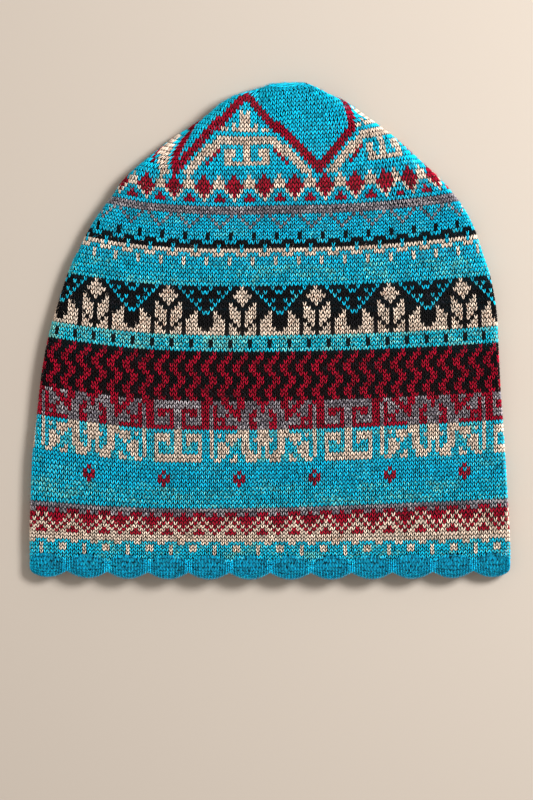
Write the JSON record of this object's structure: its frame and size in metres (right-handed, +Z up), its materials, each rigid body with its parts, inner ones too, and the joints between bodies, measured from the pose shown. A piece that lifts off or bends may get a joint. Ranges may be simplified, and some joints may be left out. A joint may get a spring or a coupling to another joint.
{
  "type": "knitted alpaca hat with a scalloped edging",
  "caption": "Fine-knit pull-on hat with bands of colour pattern, a puffed gathered crown and a scalloped edging, lying flat.",
  "frame": {"origin": "on the table, under the middle of the hat as it lies flat on its back", "axes": "+Z up off the table, out of the front of the hat; +Y from the brim to the crown; +X to the right of the front seen from above"},
  "size_m": [0.2406, 0.2484, 0.0253],
  "materials": {
    "jacquard_knit": "fine alpaca jacquard knit in turquoise, beige, wine red, black and marled grey, matt with a soft halo",
    "plain_knit": "plain turquoise alpaca knit, finer than the body's, matt"
  },
  "bodies": {
    "root": {"knit_body": "jacquard_knit", "scalloped_edging": "plain_knit"}
  },
  "joints": []
}
